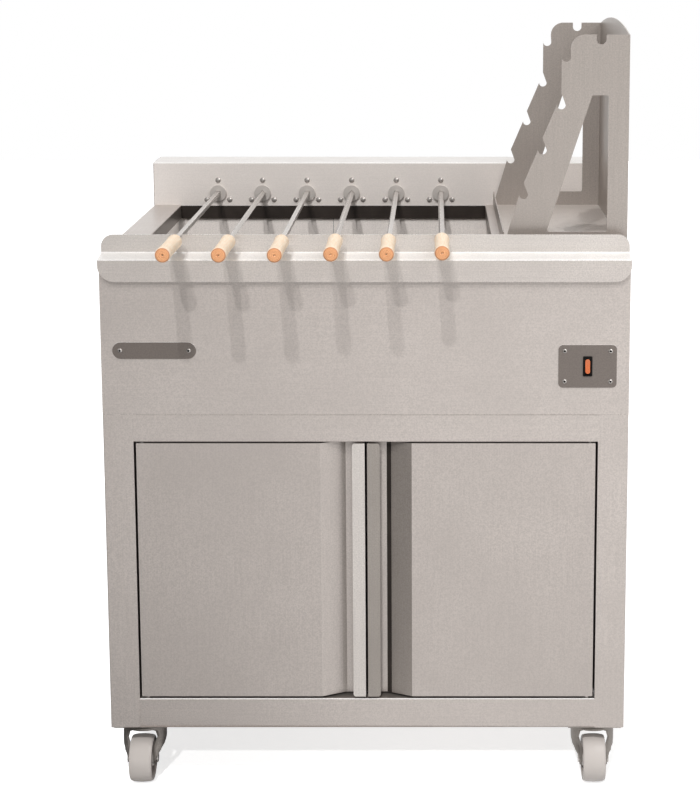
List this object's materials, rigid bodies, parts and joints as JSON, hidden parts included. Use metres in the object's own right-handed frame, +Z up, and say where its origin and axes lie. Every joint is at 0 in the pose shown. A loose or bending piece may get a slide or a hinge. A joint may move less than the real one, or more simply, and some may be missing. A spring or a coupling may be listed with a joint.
{
  "type": "charcoal rotisserie grill",
  "caption": "Free-standing charcoal grill with driven skewers, drive housing, skewer rack, ash drawer and a two-door cabinet on swivel casters.",
  "frame": {"origin": "on the floor, under the middle of the whole object's footprint", "axes": "+Z up, front with the doors faces -Y, rack side is +X"},
  "size_m": [0.904, 0.854, 1.2917],
  "materials": {
    "satin_steel": "brushed, satin",
    "dark_plate": "brushed, darker",
    "bright_steel": "bright, domed",
    "hearth_steel": "heat stained",
    "grate_iron": "sooty",
    "gear_steel": "machined",
    "motor_paint": "satin paint",
    "black_plastic": "matte",
    "orange_lens": "gloss, translucent",
    "rod_steel": "bright drawn bar",
    "handle_wood": "turned, oiled",
    "zinc_steel": "zinc plated, dull",
    "polyamide": "moulded, pale"
  },
  "bodies": {
    "grill_body": {"cabinet_frame": "satin_steel", "side_panels": "satin_steel", "back_panel": "satin_steel", "cabinet_floor": "satin_steel", "hinge_pins": "bright_steel", "door_magnets": "black_plastic", "front_panel": "satin_steel", "left_body_side": "satin_steel", "right_body_side": "satin_steel", "rear_panel": "satin_steel", "front_rest": "satin_steel", "firebox_shell": "hearth_steel", "firebox_liners": "satin_steel", "charcoal_grate": "grate_iron", "drawer_runners": "satin_steel", "drive_face": "satin_steel", "drive_cover": "satin_steel", "bearing_housings": "gear_steel", "bearing_screws": "bright_steel", "gearmotor": "motor_paint", "switch_plate": "dark_plate", "rocker_bezel": "black_plastic", "badge_plate": "dark_plate", "mains_gland": "black_plastic", "caster_plates": "zinc_steel"},
    "spindle_1": {"spindle_1": "gear_steel"},
    "skewer_1": {"skewer_rod_1": "rod_steel", "skewer_handle_1": "handle_wood"},
    "spindle_2": {"spindle_2": "gear_steel"},
    "skewer_2": {"skewer_rod_2": "rod_steel", "skewer_handle_2": "handle_wood"},
    "spindle_3": {"spindle_3": "gear_steel"},
    "skewer_3": {"skewer_rod_3": "rod_steel", "skewer_handle_3": "handle_wood"},
    "spindle_4": {"spindle_4": "gear_steel"},
    "skewer_4": {"skewer_rod_4": "rod_steel", "skewer_handle_4": "handle_wood"},
    "spindle_5": {"spindle_5": "gear_steel"},
    "skewer_5": {"skewer_rod_5": "rod_steel", "skewer_handle_5": "handle_wood"},
    "spindle_6": {"spindle_6": "gear_steel"},
    "skewer_6": {"skewer_rod_6": "rod_steel", "skewer_handle_6": "handle_wood"},
    "motor_pinion": {"motor_pinion": "gear_steel"},
    "left_door": {"left_door": "satin_steel"},
    "right_door": {"right_door": "satin_steel"},
    "ash_drawer": {"ash_drawer_pan": "satin_steel", "ash_drawer_front": "satin_steel"},
    "rocker": {"rocker": "orange_lens"},
    "skewer_rack": {"rack_front_plate": "satin_steel", "rack_rear_plate": "satin_steel", "rack_tray": "satin_steel"},
    "fork_front_left": {"caster_fork_front_left": "zinc_steel"},
    "wheel_front_left": {"caster_wheel_front_left": "polyamide"},
    "fork_front_right": {"caster_fork_front_right": "zinc_steel"},
    "wheel_front_right": {"caster_wheel_front_right": "polyamide"},
    "fork_rear_left": {"caster_fork_rear_left": "zinc_steel"},
    "wheel_rear_left": {"caster_wheel_rear_left": "polyamide"},
    "fork_rear_right": {"caster_fork_rear_right": "zinc_steel"},
    "wheel_rear_right": {"caster_wheel_rear_right": "polyamide"}
  },
  "joints": [
    {"name": "spindle_1_turn", "type": "hinge", "parent": "grill_body", "child": "spindle_1", "pos_m": [-0.293, 0.313, 0.9415], "axis": [0, 1, 0], "continuous": true},
    {"name": "skewer_1_pull", "type": "slide", "parent": "spindle_1", "child": "skewer_1", "axis": [0, -1, 0], "range_m": [0, 0.62]},
    {"name": "spindle_2_turn", "type": "hinge", "parent": "grill_body", "child": "spindle_2", "pos_m": [-0.206, 0.313, 0.9415], "axis": [0, 1, 0], "continuous": true},
    {"name": "skewer_2_pull", "type": "slide", "parent": "spindle_2", "child": "skewer_2", "axis": [0, -1, 0], "range_m": [0, 0.62]},
    {"name": "spindle_3_turn", "type": "hinge", "parent": "grill_body", "child": "spindle_3", "pos_m": [-0.119, 0.313, 0.9415], "axis": [0, 1, 0], "continuous": true},
    {"name": "skewer_3_pull", "type": "slide", "parent": "spindle_3", "child": "skewer_3", "axis": [0, -1, 0], "range_m": [0, 0.62]},
    {"name": "spindle_4_turn", "type": "hinge", "parent": "grill_body", "child": "spindle_4", "pos_m": [-0.032, 0.313, 0.9415], "axis": [0, 1, 0], "continuous": true},
    {"name": "skewer_4_pull", "type": "slide", "parent": "spindle_4", "child": "skewer_4", "axis": [0, -1, 0], "range_m": [0, 0.62]},
    {"name": "spindle_5_turn", "type": "hinge", "parent": "grill_body", "child": "spindle_5", "pos_m": [0.055, 0.313, 0.9415], "axis": [0, 1, 0], "continuous": true},
    {"name": "skewer_5_pull", "type": "slide", "parent": "spindle_5", "child": "skewer_5", "axis": [0, -1, 0], "range_m": [0, 0.62]},
    {"name": "spindle_6_turn", "type": "hinge", "parent": "grill_body", "child": "spindle_6", "pos_m": [0.142, 0.313, 0.9415], "axis": [0, 1, 0], "continuous": true},
    {"name": "skewer_6_pull", "type": "slide", "parent": "spindle_6", "child": "skewer_6", "axis": [0, -1, 0], "range_m": [0, 0.62]},
    {"name": "motor_pinion_turn", "type": "hinge", "parent": "grill_body", "child": "motor_pinion", "pos_m": [0.142, 0.333, 0.8725], "axis": [0, 1, 0], "continuous": true},
    {"name": "left_door_hinge", "type": "hinge", "parent": "grill_body", "child": "left_door", "pos_m": [-0.356, -0.279, 0.38], "axis": [0, 0, -1], "range_deg": [0, 110]},
    {"name": "right_door_hinge", "type": "hinge", "parent": "grill_body", "child": "right_door", "pos_m": [0.388, -0.279, 0.38], "axis": [0, 0, 1], "range_deg": [0, 110]},
    {"name": "ash_drawer_slide", "type": "slide", "parent": "grill_body", "child": "ash_drawer", "axis": [-1, 0, 0], "range_m": [0, 0.5]},
    {"name": "rocker_tilt", "type": "hinge", "parent": "grill_body", "child": "rocker", "pos_m": [0.382, -0.284, 0.733], "axis": [1, 0, 0], "range_deg": [0, 12]},
    {"name": "skewer_rack_lift", "type": "slide", "parent": "grill_body", "child": "skewer_rack", "axis": [0, 0, 1], "range_m": [0, 0.4]},
    {"name": "swivel_front_left", "type": "hinge", "parent": "grill_body", "child": "fork_front_left", "pos_m": [-0.37, -0.232, 0.095], "axis": [0, 0, 1], "continuous": true},
    {"name": "wheel_turn_front_left", "type": "hinge", "parent": "fork_front_left", "child": "wheel_front_left", "pos_m": [-0.37, -0.262, 0.04], "axis": [1, 0, 0], "continuous": true},
    {"name": "swivel_front_right", "type": "hinge", "parent": "grill_body", "child": "fork_front_right", "pos_m": [0.402, -0.232, 0.095], "axis": [0, 0, 1], "continuous": true},
    {"name": "wheel_turn_front_right", "type": "hinge", "parent": "fork_front_right", "child": "wheel_front_right", "pos_m": [0.402, -0.262, 0.04], "axis": [1, 0, 0], "continuous": true},
    {"name": "swivel_rear_left", "type": "hinge", "parent": "grill_body", "child": "fork_rear_left", "pos_m": [-0.37, 0.348, 0.095], "axis": [0, 0, 1], "continuous": true},
    {"name": "wheel_turn_rear_left", "type": "hinge", "parent": "fork_rear_left", "child": "wheel_rear_left", "pos_m": [-0.37, 0.318, 0.04], "axis": [1, 0, 0], "continuous": true},
    {"name": "swivel_rear_right", "type": "hinge", "parent": "grill_body", "child": "fork_rear_right", "pos_m": [0.402, 0.348, 0.095], "axis": [0, 0, 1], "continuous": true},
    {"name": "wheel_turn_rear_right", "type": "hinge", "parent": "fork_rear_right", "child": "wheel_rear_right", "pos_m": [0.402, 0.318, 0.04], "axis": [1, 0, 0], "continuous": true}
  ],
  "couplings": [
    {"joint": "spindle_2_turn", "follows": "spindle_1_turn", "ratio": -1},
    {"joint": "spindle_3_turn", "follows": "spindle_1_turn", "ratio": 1},
    {"joint": "spindle_4_turn", "follows": "spindle_1_turn", "ratio": -1},
    {"joint": "spindle_5_turn", "follows": "spindle_1_turn", "ratio": 1},
    {"joint": "spindle_6_turn", "follows": "spindle_1_turn", "ratio": -1},
    {"joint": "motor_pinion_turn", "follows": "spindle_1_turn", "ratio": 1.7059}
  ]
}
